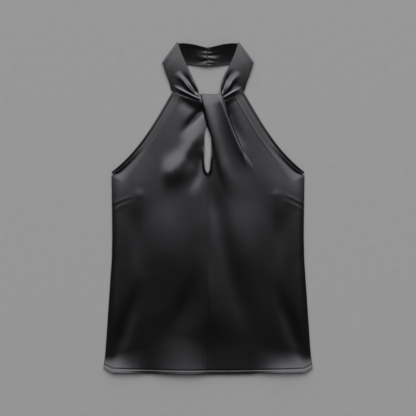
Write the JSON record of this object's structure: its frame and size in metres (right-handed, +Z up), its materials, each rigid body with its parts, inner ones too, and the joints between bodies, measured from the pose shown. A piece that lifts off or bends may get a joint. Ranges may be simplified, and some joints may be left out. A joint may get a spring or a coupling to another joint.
{
  "type": "halter neck top",
  "caption": "Sleeveless satin top laid flat, with a halter collar, a twisted knot and keyhole at the front neck, bust darts and a narrow hem.",
  "frame": {"origin": "centre of the garment's box, on the surface that it lies on", "axes": "+X to the wearer's left, +Y from the hem to the neck, +Z up from the surface, front of the garment upward"},
  "size_m": [0.458, 0.73, 0.0135],
  "materials": {
    "satin": "smooth black satin with a soft sheen",
    "satin_collar": "doubled black satin with a soft sheen",
    "satin_binding": "bias-cut black satin, folded and stitched",
    "satin_button": "satin-covered button and loop"
  },
  "bodies": {
    "root": {"back_panel": "satin", "front_right": "satin", "front_left": "satin", "collar_right": "satin_collar", "collar_left": "satin_collar", "armhole_binding_right": "satin_binding", "armhole_binding_left": "satin_binding", "button_1": "satin_button", "button_2": "satin_button", "button_loop_1": "satin_button", "button_loop_2": "satin_button"}
  },
  "joints": []
}
